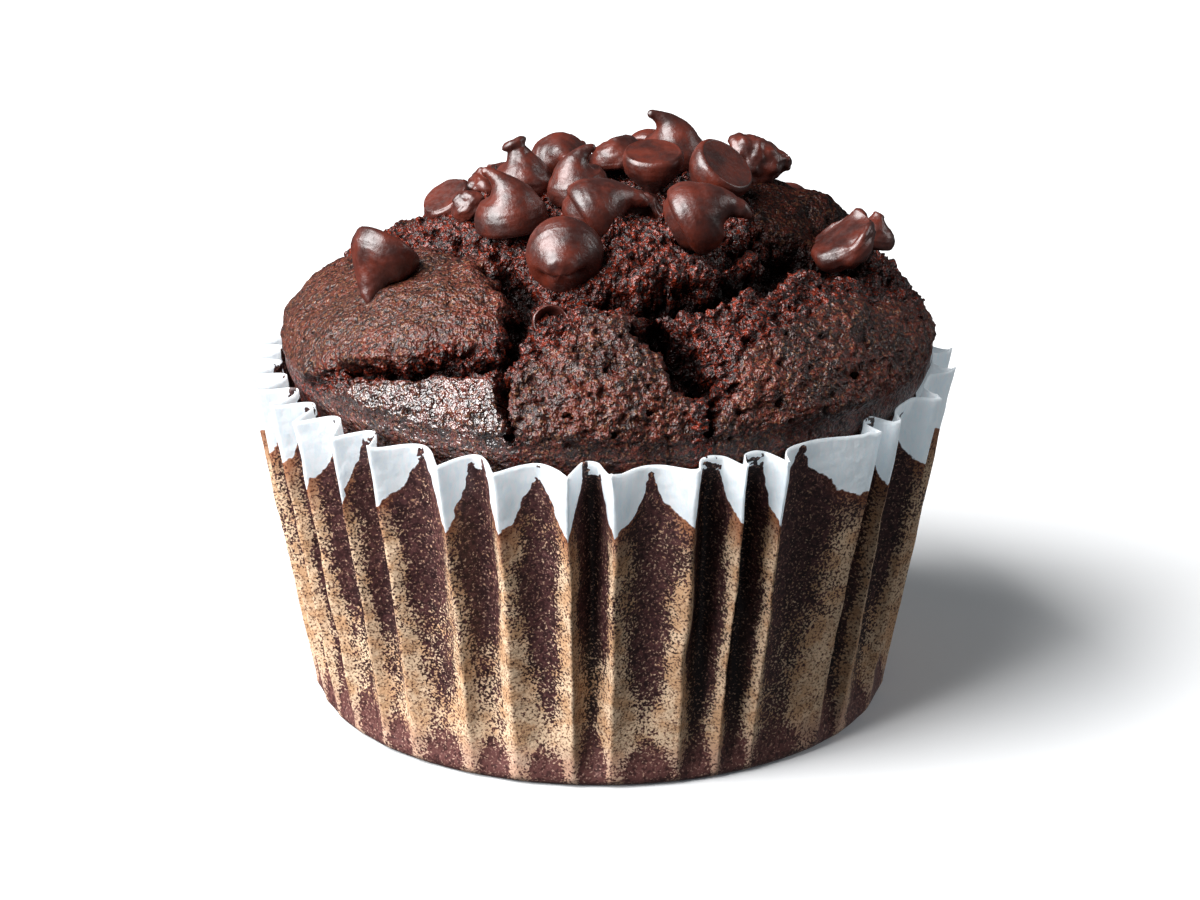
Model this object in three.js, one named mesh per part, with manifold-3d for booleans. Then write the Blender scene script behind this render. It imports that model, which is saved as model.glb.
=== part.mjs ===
// A chocolate muffin in its pleated paper case, with chocolate chips on top.
//
// Frame: millimetres, +Z up, -Y to the front. The origin is the centre of the
// case's flat base, on the surface that the muffin stands on.

import * as THREE from 'three';
import { mergeVertices } from 'three/addons/utils/BufferGeometryUtils.js';
import Module from 'manifold-3d';

const wasm = await Module();
wasm.setup();

// ---------------------------------------------------------------- dimensions

// Paper case
const BASE_RADIUS = 25.8;       // outside of the wall, just above the base
const RIM_RADIUS = 31.4;        // outward creases, at the rim
const CASE_HEIGHT = 30.3;       // outward creases, from the base to the rim
const CORNER_RADIUS = 1.2;      // rounded edge between base and wall
const PLEAT_DEPTH = 3.4;        // outward crease to inward crease, at the rim
const PLEAT_GROWTH = 0.7;       // how fast the pleats deepen up the wall
const FLANK_FOLD = 0.68;         // half way from crease to crease: sharp outside, round inside
const PAPER_THICKNESS = 0.3;

// Crumb
const FIT_GAP = 0.3;            // clearance wherever two pieces touch
const DRY_BAND = 6.1;           // below this band at the rim the crumb fills every pleat
const OVERHANG = 0.6;           // the risen top swells past the inward creases
const SHOULDER_RISE = 1.2;      // rim to the widest ring of the top
const DOME_RISE = 12.9;         // shoulder to crown
const DOME_ROUNDNESS = 1.85;    // 2 is an ellipse, less is more pointed
const DOME_SHIFT = 0.7;         // the top rose off centre, towards +X,
const DOME_LEAN = 1.5;          // and higher on that side

// Chocolate chips
const CHIP_RADIUS = 3.2;
const CHIP_HEIGHT = 6.4;

// Bearings of the outward creases over the front of the case, in degrees from
// the front towards +X. The pressed pleats have been pushed about by the batter.
const FRONT_CREASES = [
  -97, -88, -81, -72, -64, -56, -46, -38, -25, -16, -5, 2, 15, 23, 30, 46, 54, 67, 81, 93, 105,
];
const BACK_CREASES = 15;        // evenly pressed creases that close the circle
const WALL_SHARES = [0, 0.15, 0.4, 0.7, 1]; // levels up the wall that the solids follow

// The plan positions of tears, lobes and chips are drawn on a top of this
// radius, and spread with the top's real one.
const DRAWN_RADIUS = 28.6;

// Tears in the crust as the top rose: where each one runs on plan, its width
// and its depth.
const TEARS = [
  { width: 2.0, depth: 2.6, path: [[-15, -3], [-11.5, -11], [-8.6, -17.5], [-7.8, -23.5]] },
  { width: 1.5, depth: 1.5, path: [[-7.8, -23.5], [-14, -22.4], [-19, -19.5], [-23, -16.5]] },
  { width: 0.9, depth: 1.6, path: [[-7.8, -23.5], [-8, -27.5]] },
  { width: 2.2, depth: 2.4, path: [[-4, -19.5], [4, -20], [12, -16.5], [20, -8.5]] },
  { width: 1.5, depth: 2.2, path: [[5, -22.6], [6.6, -25], [8.6, -26.6]] },
  { width: 1.8, depth: 1.6, path: [[-22, 4], [-18, -2.6], [-13.5, -3.4]] },
  { width: 1.8, depth: 1.8, path: [[-14, 20], [-3, 15.5], [8, 17.5], [18, 12]] },
];

// Swellings between the tears: plan centre, reach and height.
const LOBES = [
  { at: [-17, -13], reach: 10, height: 0.8 },
  { at: [0, -24], reach: 8, height: 0.8 },
  { at: [17, -17], reach: 11, height: 1.0 },
  { at: [4, -13], reach: 7, height: 1.2 },
  { at: [0, 3], reach: 15, height: 1.5 },
  { at: [14, 1.5], reach: 9, height: 2.0 },
  { at: [-8, 18], reach: 9, height: 0.9 },
  { at: [13, 18], reach: 8, height: 0.8 },
];

// Chips, each by the plan position of its base, how far the base is lifted off
// the crumb, how far its axis leans from upright and towards which bearing
// (degrees from +X, anticlockwise), how far its tip curls and which way round
// its axis, and its size against a full chip.
const CHIPS = [
  { at: [-17.9, -8.6], lift: 3.4, lean: 138, towards: 228, curl: 60, roll: 60, size: 0.98 },
  { at: [-13.9, 5.2], lift: 2.4, lean: 146, towards: 30, curl: 15, roll: 90, size: 0.74 },
  { at: [-10.4, 5.6], lift: 0.7, lean: 30, towards: 60, curl: 45, roll: 40, size: 0.66 },
  { at: [-7.5, -5.6], lift: 0.3, lean: 8, towards: 165, curl: 95, roll: 0, size: 1 },
  { at: [-6.7, 0.8], lift: 0.4, lean: 6, towards: 150, curl: 40, roll: 0, size: 0.86 },
  { at: [-3.6, 6.1], lift: 1.2, lean: 66, towards: -80, curl: 25, roll: 0, size: 0.84 },
  { at: [1.7, 3.6], lift: 0.6, lean: 20, towards: 100, curl: 40, roll: 90, size: 0.78 },
  { at: [-1.7, -2.6], lift: 0.1, lean: 10, towards: 200, curl: 120, roll: 180, size: 0.86 },
  { at: [-1.4, -8.8], lift: 1.8, lean: 60, towards: 12, curl: 95, roll: 0, size: 0.98 },
  { at: [-2.9, -13.2], lift: 1.9, lean: 98, towards: -95, curl: 20, roll: 0, size: 1.04 },
  { at: [6.5, 5.7], lift: 0.9, lean: 4, towards: 190, curl: 100, roll: 0, size: 0.94 },
  { at: [4.6, -1.6], lift: 3.8, lean: 170, towards: 90, curl: 10, roll: 0, size: 0.84 },
  { at: [11.0, -3.4], lift: 4.0, lean: 138, towards: 150, curl: 15, roll: 0, size: 0.92 },
  { at: [7.0, -11.3], lift: 1.9, lean: 62, towards: 0, curl: 105, roll: 0, size: 1.02 },
  { at: [12.2, 4.4], lift: 1.0, lean: 78, towards: -8, curl: 30, roll: 60, size: 0.86 },
  { at: [20.8, -5.6], lift: 2.8, lean: 146, towards: 20, curl: 10, roll: 0, size: 0.96 },
  { at: [23.9, 1.6], lift: 0.9, lean: 12, towards: 30, curl: 30, roll: 0, size: 0.6 },
  { at: [-4.1, -19.0], lift: 1.4, lean: 122, towards: 90, curl: 10, roll: 0, size: 0.5 },
  { at: [7.2, -6.4], lift: -0.6, lean: 10, towards: 60, curl: 20, roll: 0, size: 0.5 },
  { at: [3.4, -6.2], lift: 0.2, lean: 70, towards: 60, curl: 20, roll: 0, size: 0.6 },
  { at: [-11.1, 0.2], lift: 0.7, lean: 40, towards: 180, curl: 20, roll: 0, size: 0.5 },
  { at: [-8.6, 17.6], lift: 1.0, lean: 80, towards: 100, curl: 40, roll: 0, size: 0.86 },
  { at: [-2.0, 16.0], lift: 0.0, lean: 34, towards: 80, curl: 55, roll: 20, size: 0.9 },
  { at: [4.2, 13.4], lift: 1.2, lean: 74, towards: 60, curl: 45, roll: 0, size: 0.86 },
  { at: [10.6, 16.6], lift: 1.5, lean: 72, towards: 120, curl: 60, roll: 0, size: 0.9 },
  { at: [17.0, 21.0], lift: 0.8, lean: 84, towards: 60, curl: 35, roll: 0, size: 0.86 },
  { at: [-13.4, 23.6], lift: 0.8, lean: 84, towards: 120, curl: 30, roll: 0, size: 0.9 },
  { at: [5.4, 21.6], lift: 0.1, lean: 34, towards: 80, curl: 25, roll: 0, size: 0.86 },
];

// ------------------------------------------------------------------- helpers

const radians = THREE.MathUtils.degToRad;
const { clamp, lerp, smoothstep } = THREE.MathUtils;

// ------------------------------------------------------------- derived sizes

const SHOULDER_RADIUS = RIM_RADIUS - PLEAT_DEPTH + OVERHANG;
const SHOULDER_HEIGHT = CASE_HEIGHT + SHOULDER_RISE;
const FILLED_HEIGHT = CASE_HEIGHT - DRY_BAND;
const PIT_DEPTH = SHOULDER_RADIUS / 3;      // lobes swell away from a point this far below the shoulder
const SPREAD = SHOULDER_RADIUS / DRAWN_RADIUS;
const spread = ([x, y]) => [x * SPREAD, y * SPREAD];

// A closed skin from a first pole, through rings, to a last pole. Rings run
// anticlockwise seen from the last pole's side, and a ring has either as many
// points as the one before it or half as many. Each four-cornered cell is cut
// along its shorter diagonal, so that nested skins are cut alike.
function closedSkin(firstPole, rings, lastPole) {
  const points = [firstPole, ...rings.flat(), lastPole];
  const index = [];
  const starts = [];
  let start = 1;
  for (const ring of rings) {
    starts.push(start);
    start += ring.length;
  }
  const at = (ring, i) => starts[ring] + (i % rings[ring].length);
  for (let i = 0; i < rings[0].length; i++) {
    index.push(0, at(0, i + 1), at(0, i));
  }
  for (let ring = 0; ring + 1 < rings.length; ring++) {
    const next = ring + 1;
    const halved = rings[next].length < rings[ring].length;
    for (let i = 0; i < rings[next].length; i++) {
      const [a, b] = halved ? [at(ring, 2 * i), at(ring, 2 * i + 1)] : [at(ring, i), at(ring, i + 1)];
      const [c, d] = [at(next, i + 1), at(next, i)];
      if (points[a].distanceTo(points[c]) < points[b].distanceTo(points[d])) {
        index.push(a, b, c, a, c, d);
      } else {
        index.push(a, b, d, b, c, d);
      }
      if (halved) {
        index.push(b, at(ring, 2 * i + 2), c);
      }
    }
  }
  const end = rings.length - 1;
  for (let i = 0; i < rings[end].length; i++) {
    index.push(points.length - 1, at(end, i), at(end, i + 1));
  }
  const geometry = new THREE.BufferGeometry().setFromPoints(points);
  geometry.setIndex(index);
  return geometry;
}

const MERGE_DISTANCE = 1e-4;

function toSolid(geometry) {
  const bare = new THREE.BufferGeometry();
  bare.setAttribute('position', geometry.getAttribute('position'));
  bare.setIndex(geometry.getIndex());
  const merged = mergeVertices(bare, MERGE_DISTANCE);
  return new wasm.Manifold(new wasm.Mesh({
    numProp: 3,
    vertProperties: new Float32Array(merged.getAttribute('position').array),
    triVerts: new Uint32Array(merged.getIndex().array),
  }));
}

function toGeometry(solid) {
  const mesh = solid.getMesh();
  const geometry = new THREE.BufferGeometry();
  geometry.setAttribute('position', new THREE.BufferAttribute(mesh.vertProperties, 3));
  geometry.setIndex(new THREE.BufferAttribute(mesh.triVerts, 1));
  geometry.computeVertexNormals();
  return geometry;
}

function namedMesh(name, geometry, material) {
  const mesh = new THREE.Mesh(geometry, material);
  mesh.name = name;
  return mesh;
}

// ------------------------------------------------------------------ the wall

// Every pleat is sampled at its crease, its two flanks and its inward crease.
// A column has a bearing and a fold: 0 on an outward crease, 1 on an inward one.
function pleatColumns() {
  const first = FRONT_CREASES[0];
  const last = FRONT_CREASES[FRONT_CREASES.length - 1];
  const backPitch = (360 - (last - first)) / (BACK_CREASES + 1);
  const creases = [...FRONT_CREASES];
  for (let i = 1; i <= BACK_CREASES; i++) {
    creases.push(last + i * backPitch);
  }
  creases.push(first + 360);
  const columns = [];
  for (let i = 0; i + 1 < creases.length; i++) {
    for (const [share, fold] of [[0, 0], [0.25, FLANK_FOLD], [0.5, 1], [0.75, FLANK_FOLD]]) {
      columns.push({ bearing: radians(lerp(creases[i], creases[i + 1], share)), fold });
    }
  }
  return columns;
}

const COLUMNS = pleatColumns();

function onPlan(radius, bearing, height) {
  return new THREE.Vector3(radius * Math.sin(bearing), -radius * Math.cos(bearing), height);
}

// Outside radius and height of the wall at a share of the way up it.
function wallRadius(share, fold) {
  const crease = lerp(BASE_RADIUS, RIM_RADIUS, share);
  return crease - fold * PLEAT_DEPTH * share ** PLEAT_GROWTH;
}

function wallHeight(share, fold) {
  const slant = Math.hypot(CASE_HEIGHT, RIM_RADIUS - BASE_RADIUS);
  const inward = Math.hypot(CASE_HEIGHT, RIM_RADIUS - PLEAT_DEPTH - BASE_RADIUS);
  const rise = fold * (slant - inward) * share;
  return lerp(CORNER_RADIUS, CASE_HEIGHT, share) + rise;
}

// One ring of the wall, moved in along its own normals by an inset.
function wallRing(share, inset, foldAt = (column) => column.fold) {
  const ring = COLUMNS.map((column) => {
    const fold = foldAt(column);
    return onPlan(wallRadius(share, fold), column.bearing, wallHeight(share, fold));
  });
  return ring.map((point, i) => {
    const before = ring[(i + ring.length - 1) % ring.length];
    const after = ring[(i + 1) % ring.length];
    const normal = new THREE.Vector3(after.y - before.y, before.x - after.x, 0).normalize();
    return point.clone().addScaledVector(normal, -inset);
  });
}

function roundRing(radius, height) {
  return COLUMNS.map((column) => onPlan(radius, column.bearing, height));
}

// The rounded edge between the base and the wall, inset like the wall.
function cornerRings(inset) {
  const centre = BASE_RADIUS - CORNER_RADIUS;
  const radius = CORNER_RADIUS - inset;
  return [0, Math.PI / 4].map((turn) => {
    const out = radius * Math.sin(turn);
    const down = radius * Math.cos(turn);
    return roundRing(centre + out, CORNER_RADIUS - down);
  });
}

// ------------------------------------------------------------------ the case

function paperCase() {
  const outside = WALL_SHARES.map((share) => wallRing(share, 0));
  const inside = WALL_SHARES.map((share) => wallRing(share, PAPER_THICKNESS));
  const rings = [
    ...cornerRings(0),
    ...outside,
    ...inside.reverse(),
    ...cornerRings(PAPER_THICKNESS).reverse(),
  ];
  const underside = new THREE.Vector3(0, 0, 0);
  const floor = new THREE.Vector3(0, 0, PAPER_THICKNESS);
  return closedSkin(underside, rings, floor);
}

// ----------------------------------------------------------------- the crumb

// Height of the smooth dome over a plan position.
function domeHeight(x, y) {
  const across = (x - DOME_SHIFT) / SHOULDER_RADIUS;
  const out = clamp(Math.hypot(across, y / SHOULDER_RADIUS), 0, 1);
  const rise = DOME_RISE * (1 - out ** DOME_ROUNDNESS) ** (1 / DOME_ROUNDNESS);
  return SHOULDER_HEIGHT + rise + DOME_LEAN * across * (1 - out ** 4);
}

function distanceToPath(x, y, path) {
  let nearest = Infinity;
  for (let i = 0; i + 1 < path.length; i++) {
    const [ax, ay] = spread(path[i]);
    const [bx, by] = spread(path[i + 1]);
    const run = (bx - ax) ** 2 + (by - ay) ** 2;
    const share = clamp(((x - ax) * (bx - ax) + (y - ay) * (by - ay)) / run, 0, 1);
    nearest = Math.min(nearest, Math.hypot(x - lerp(ax, bx, share), y - lerp(ay, by, share)));
  }
  return nearest;
}

// How far the torn, swollen crust stands off the smooth dome.
function crustOffset(x, y) {
  let offset = 0;
  for (const { at, reach, height } of LOBES) {
    const [lobeX, lobeY] = spread(at);
    const out = Math.hypot(x - lobeX, y - lobeY) / SPREAD;
    offset += height * (1 - smoothstep(out, reach / 3, reach));
  }
  for (const { width, depth, path } of TEARS) {
    offset -= depth * (1 - smoothstep(distanceToPath(x, y, path), 0, width));
  }
  return offset;
}

const DOME_RINGS = 17;
const CALM_TURN = 0.35;         // radians above the shoulder before lobes and tears show in full
const NECK_STEPS = [0.4, 1];    // shares of the dry band where the crumb has drawn in

// The part of the crumb that stands in the case. It fills the pleats up to the
// filled height and shrinks back from the outward creases above it.
function standingRings() {
  const inset = PAPER_THICKNESS + FIT_GAP;
  const filledShare = (FILLED_HEIGHT - CORNER_RADIUS) / (CASE_HEIGHT - CORNER_RADIUS);
  const shares = [...WALL_SHARES.filter((share) => share < filledShare), filledShare];
  const filled = shares.map((share) => wallRing(share, inset));
  const drawnIn = NECK_STEPS.map((step) => wallRing(lerp(filledShare, 1, step), inset, () => 1));
  return [...cornerRings(inset), ...filled, ...drawnIn];
}

// The risen top, from its widest ring up, with every other column of the wall.
function domeRings() {
  const columns = COLUMNS.filter((_, i) => i % 2 === 0);
  const pit = new THREE.Vector3(0, 0, SHOULDER_HEIGHT - PIT_DEPTH);
  const rings = [];
  for (let i = 0; i < DOME_RINGS; i++) {
    const turn = (i / DOME_RINGS) * Math.PI / 2;
    const aboveCase = smoothstep(turn, 0, CALM_TURN);
    rings.push(columns.map((column) => {
      const point = onPlan(SHOULDER_RADIUS * Math.cos(turn), column.bearing, 0);
      point.x += DOME_SHIFT;
      point.z = domeHeight(point.x, point.y);
      const outward = point.clone().sub(pit).normalize();
      return point.addScaledVector(outward, crustOffset(point.x, point.y) * aboveCase);
    }));
  }
  return rings;
}

function crumb() {
  const floor = PAPER_THICKNESS + FIT_GAP;
  const crown = new THREE.Vector3(DOME_SHIFT, 0, domeHeight(DOME_SHIFT, 0));
  crown.z += crustOffset(crown.x, crown.y);
  return closedSkin(new THREE.Vector3(0, 0, floor), [...standingRings(), ...domeRings()], crown);
}

// ----------------------------------------------------------------- the chips

// Outline of a moulded chip: share of the height against share of the radius.
const CHIP_OUTLINE = new THREE.SplineCurve([
  new THREE.Vector2(0.00, 0.86),
  new THREE.Vector2(0.10, 1.00),
  new THREE.Vector2(0.30, 0.96),
  new THREE.Vector2(0.50, 0.66),
  new THREE.Vector2(0.66, 0.37),
  new THREE.Vector2(0.82, 0.20),
  new THREE.Vector2(0.95, 0.13),
]);
const CHIP_SIDES = 10;
const CHIP_RINGS = 8;
const STRAIGHT_SHARE = 0.42;    // the tip starts to curl above this
const LEAST_BEND = 1e-3;        // radians, below which a tip is straight

// A chip on its base at the origin, its tip up and curling towards +X by an
// angle. Growing it makes the pocket that it sits in.
function chipGeometry({ size, curl }, grow) {
  const height = CHIP_HEIGHT * size;
  const bend = radians(curl);
  const length = height * (1 - STRAIGHT_SHARE);
  const spineAt = (share) => {
    const along = clamp((share - STRAIGHT_SHARE) / (1 - STRAIGHT_SHARE), 0, 1);
    const turn = bend * along;
    const straight = height * Math.min(share, STRAIGHT_SHARE);
    if (bend < LEAST_BEND) {
      return { turn: 0, x: 0, z: height * share };
    }
    const arc = length / bend;
    return { turn, x: arc * (1 - Math.cos(turn)), z: straight + arc * Math.sin(turn) };
  };
  const rings = [];
  for (let ring = 0; ring < CHIP_RINGS; ring++) {
    const outline = CHIP_OUTLINE.getPoint(ring / (CHIP_RINGS - 1));
    const radius = CHIP_RADIUS * size * outline.y + grow;
    const spine = spineAt(outline.x);
    const drop = ring === 0 ? grow : 0;
    rings.push(Array.from({ length: CHIP_SIDES }, (_, i) => {
      const around = (i / CHIP_SIDES) * Math.PI * 2;
      const out = radius * Math.cos(around);
      return new THREE.Vector3(
        spine.x + out * Math.cos(spine.turn),
        radius * Math.sin(around),
        spine.z - out * Math.sin(spine.turn) - drop,
      );
    }));
  }
  const end = spineAt(1);
  const tip = new THREE.Vector3(
    end.x + grow * Math.sin(end.turn),
    0,
    end.z + grow * Math.cos(end.turn),
  );
  return closedSkin(new THREE.Vector3(0, 0, -grow), rings, tip);
}

function placeChip(mesh, { at, lift, lean, towards, roll }) {
  const heading = radians(towards);
  const hinge = new THREE.Vector3(-Math.sin(heading), Math.cos(heading), 0);
  const [x, y] = spread(at);
  mesh.position.set(x, y, domeHeight(x, y) + crustOffset(x, y) + lift);
  mesh.quaternion.setFromAxisAngle(hinge, radians(lean));
  mesh.rotateZ(heading + radians(roll));
  mesh.updateMatrix();
}

// The geometry of a placed mesh where the pockets of its neighbours leave it.
function cutBack(mesh, pockets) {
  const whole = toSolid(mesh.geometry.clone().applyMatrix4(mesh.matrix));
  const met = pockets.filter((pocket) => !pocket.intersect(whole).isEmpty());
  if (met.length === 0) {
    return mesh.geometry;
  }
  const left = met.reduce((solid, pocket) => solid.subtract(pocket), whole);
  return toGeometry(left).applyMatrix4(mesh.matrix.clone().invert());
}

// ------------------------------------------------------------------ assembly

function matter(color, roughness) {
  return new THREE.MeshStandardMaterial({ color, roughness, metalness: 0 });
}

const crumbMaterial = matter(0x3a2119, 0.9);
const paperMaterial = matter(0xb08a62, 0.75);
const chocolateMaterial = matter(0x4a241a, 0.35);

const muffin = new THREE.Group();
muffin.name = 'chocolate_chip_muffin';
muffin.add(namedMesh('paper_case', paperCase(), paperMaterial));

// Each chip keeps the fit gap to the chips before it, and sits in a pocket of
// the crumb with the same gap.
const pockets = [];
CHIPS.forEach((chip, i) => {
  const name = `chip_${String(i + 1).padStart(2, '0')}`;
  const mesh = namedMesh(name, chipGeometry(chip, 0), chocolateMaterial);
  placeChip(mesh, chip);
  mesh.geometry = cutBack(mesh, pockets);
  pockets.push(toSolid(chipGeometry(chip, FIT_GAP).applyMatrix4(mesh.matrix)));
  muffin.add(mesh);
});
const crumbSolid = pockets.reduce((solid, pocket) => solid.subtract(pocket), toSolid(crumb()));
muffin.add(namedMesh('muffin', toGeometry(crumbSolid), crumbMaterial));

export default muffin;
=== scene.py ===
import math

import bpy
import numpy as np
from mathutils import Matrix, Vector, noise


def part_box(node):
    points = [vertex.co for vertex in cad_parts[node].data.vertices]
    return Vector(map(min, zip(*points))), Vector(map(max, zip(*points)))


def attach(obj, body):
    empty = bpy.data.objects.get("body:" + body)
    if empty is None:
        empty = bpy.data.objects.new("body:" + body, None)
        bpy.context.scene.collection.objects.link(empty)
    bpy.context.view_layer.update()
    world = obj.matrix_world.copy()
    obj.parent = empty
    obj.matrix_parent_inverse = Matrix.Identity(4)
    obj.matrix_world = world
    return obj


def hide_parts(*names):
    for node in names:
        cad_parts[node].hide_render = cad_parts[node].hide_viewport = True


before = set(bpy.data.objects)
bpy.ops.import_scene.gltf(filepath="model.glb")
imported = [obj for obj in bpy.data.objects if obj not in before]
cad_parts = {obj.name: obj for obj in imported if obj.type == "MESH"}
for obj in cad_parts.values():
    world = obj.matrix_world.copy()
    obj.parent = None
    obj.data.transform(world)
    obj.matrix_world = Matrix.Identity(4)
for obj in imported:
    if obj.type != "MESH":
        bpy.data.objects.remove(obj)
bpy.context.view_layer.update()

bl_info = {
    "name": "Chocolate Chip Muffin",
    "version": (1, 0, 0),
    "blender": (4, 5, 0),
    "location": "View3D > Sidebar > Muffin",
    "description": "A chocolate muffin with chocolate chips on top, in a pleated paper case",
    "category": "Add Mesh",
}

# Shapes are worked out in millimetres, with the origin at the centre of the
# case's base, +Z up and -Y to the front, and meshes are made in metres.
MM = 0.001

# Bearings of the outward creases, in degrees from the front towards +X.
FRONT_CREASES = [
    -97, -88, -81, -72, -64, -56, -46, -38, -25, -16, -5, 2, 15, 23, 30, 46, 54, 67, 81, 93, 105,
]
BACK_CREASES = 15

# Pleats that differ from the others: how deep against the usual depth, and
# where the inward crease lies between the two outward ones.
ODD_PLEATS = {
    -56: (0.9, 0.5), -46: (0.85, 0.5), -38: (0.8, 0.52), -25: (0.8, 0.5), -16: (0.62, 0.56),
    -5: (1.05, 0.5), 2: (0.62, 0.5), 15: (1.05, 0.45), 23: (1.1, 0.45), 30: (0.75, 0.32),
    46: (1.1, 0.6), 54: (1.0, 0.6), 67: (0.9, 0.55),
}
# Creases that are folded over towards +X, in degrees at the rim.
FOLDED_OVER = {46: 3.2, 67: 2.4, 81: 1.6, -88: -1.5}

# The top of the crumb is drawn on a map: distance over the top from the crown
# against bearing, in millimetres, with +X to the right and the front down.
# Each plate of crust has a height, a bumpiness and an outline. The left plate is matte, the lower left
# one is greasy, and the block is painted nearly black: a painted shadow, not a darker crust.
CRUST_PLATES = {
    "left": (0.6, 0.12, [
        (-45, -6), (-43, 6), (-36, 12), (-29, 9), (-24, 3), (-20, -1), (-16, -4.5), (-12, -9.5),
        (-8.5, -15), (-8.5, -19.5), (-10.5, -21), (-13.5, -23.8), (-20.5, -24.3), (-27.5, -22.6),
        (-33, -21), (-40, -20),
    ]),
    "lower left": (0.35, 0.5, [
        (-45, -17), (-38, -22.6), (-31, -24.8), (-26, -26.3), (-21.5, -28), (-14, -28.6),
        (-11.6, -30), (-12.2, -36), (-13, -47), (-24, -44), (-35, -36), (-44, -26),
    ]),
    "centre": (0.3, 1.0, [
        (-10.6, -33), (-9, -30), (-5, -26.5), (-2, -22.5), (2, -22), (4, -23.5), (5.6, -27), (7.2, -31),
        (9.5, -36), (11, -47), (0, -48), (-11, -47), (-11, -38),
    ]),
    "right": (0.35, 0.8, [
        (13, -33), (13.5, -27), (17, -22), (22, -16), (27, -11), (32, -5.5), (35, -3), (39, -9),
        (44, -16), (38, -29), (30, -36), (22, -42), (15, -46), (13, -40),
    ]),
    "far right": (0.3, 0.6, [(36, -1), (40, 5), (47, 4), (47, -14), (44, -13.5), (40, -7)]),
    "block": (0.3, 0.4, [
        (11.5, -1), (11, 3), (14, 7.5), (19, 8), (25, 6), (26.2, 0.5), (22.5, -4.4), (17, -7.6),
        (13, -5.5),
    ]),
    "back": (0.3, 0.45, [
        (-46, 9), (-38, 16), (-28, 20), (-16, 24), (-4, 18.5), (8, 20.5), (19, 14.5), (28, 10),
        (37, 7.5), (47, 7), (44, 22), (32, 40), (14, 47), (-12, 48), (-32, 40), (-45, 24),
    ]),
    "crown": (0.2, 0.6, [
        (-16, 7), (-8, 12), (-2, 9), (6, 10), (9, 14), (3, 15.5), (-4, 13.5), (-14, 19), (-22, 14),
    ]),
}

# Chunks of torn crumb that stand up between the plates: height and outline.
TORN_CHUNKS = [
    (1.1, [(-2, -9), (3, -7.2), (7.4, -8), (9.2, -11), (9, -16), (5, -18), (0.5, -18), (-1.2, -15)]),
    (0.5, [(-22, 6), (-17, 3), (-12, -2), (-9, -8), (-5, -4), (-8, 4), (-15, 9)]),
    (0.6, [(16, -12.2), (19.5, -10.5), (20.5, -13.5), (17.5, -15.5)]),
]

# Cracks, each with its width, its depth and its run over the map.
CRACKS = [
    (1.3, 1.0, [(-21, 1), (-16.5, -1.5), (-13.5, -5.5), (-10, -10)]),
    (2.0, 2.6, [(-9.5, -11), (-7.4, -17), (-8.3, -21), (-9.6, -24.5), (-10.6, -27)]),
    (1.9, 2.2, [
        (-10.8, -26.2), (-14, -26.4), (-17.5, -26.1), (-20.5, -26.2), (-24, -25), (-29.5, -23.4),
    ]),
    (1.0, 0.8, [(-29.5, -23.4), (-34, -22.6), (-40, -19.5)]),
    (0.75, 2.2, [(-10.3, -27), (-10.9, -31), (-11.5, -35), (-12.1, -42)]),
    (1.3, 2.2, [(4.0, -22.5), (6.0, -26), (7.2, -28)]),
    (3.3, 4.8, [(5.2, -24.2), (7.0, -27.4), (8.6, -30.6)]),
    (2.0, 3.2, [(8.6, -30.6), (9.8, -33.0)]),
    (1.1, 1.6, [(10, -33), (12.2, -36), (13, -40)]),
    (1.7, 2.2, [(-8, -18), (-4.5, -18.6), (-1, -19.3), (4, -19.8)]),
    (2.3, 3.0, [(4, -19.9), (8.5, -18.6), (13, -15.5), (17, -11.2), (21.5, -7.4)]),
    (2.2, 2.2, [(8, -13.5), (11.5, -9.5), (13, -7.4)]),
    (3.2, 3.0, [(13, -8.8), (17, -10.0), (21.6, -7.4), (25.6, -3.0)]),
    (2.0, 1.9, [(25.6, -3.0), (28.2, 2), (27.2, 6.5)]),
    (1.5, 1.5, [(21.5, -7.4), (26.5, -3), (31, -1)]),
    (1.0, 1.0, [(34, -2.5), (39.5, -8), (44, -15)]),
    (1.5, 1.6, [(-24, 22), (-14, 20), (-3, 15.5), (8, 17.8), (18, 12.5), (28, 8)]),
    (0.9, 1.3, [(-14, 20.5), (-18, 30), (-17, 40)]),
    (0.9, 1.3, [(12, 17), (17, 28), (24, 38)]),
]

# Small holes where bubbles have burst: place on the map, width and depth.
BURST_BUBBLES = [
    (-5.4, -21.6, 3.0, 1.5), (-26.2, -24.2, 1.7, 2.2), (-20.8, -26.4, 1.7, 2.4),
    (15.5, -35.5, 1.1, 1.6), (0.4, -31.5, 0.9, 1.2), (13.6, -31.5, 1.0, 1.5), (4.6, -24.6, 1.0, 1.6),
    (-34, -10, 0.6, 0.7), (-38, -19, 0.7, 0.8), (-15.5, -11, 0.5, 0.5), (21, -27, 0.6, 0.8),
    (-4, -38, 0.6, 0.7), (-24, -33, 0.8, 0.6), (27, -26, 0.6, 0.7), (19, -33, 0.9, 1.0),
    (-17, -39, 0.6, 0.7), (5, -37, 0.7, 0.8),
]

# Swellings of the whole top: place on plan, reach and height.
LOBES = [
    (-17, -13, 10, 0.8), (0, -24, 8, 0.8), (17, -17, 11, 1.0), (4, -13, 7, 1.2),
    (0, 3, 15, 1.5), (14, 1.5, 9, 2.0), (20.4, 1.4, 4.6, 1.3), (-8, 18, 9, 0.9), (13, 18, 8, 0.8),
]

# The chip that lies in a burst bubble with its hollow base up.
HOLLOW_CHIP = "chip_18"

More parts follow.
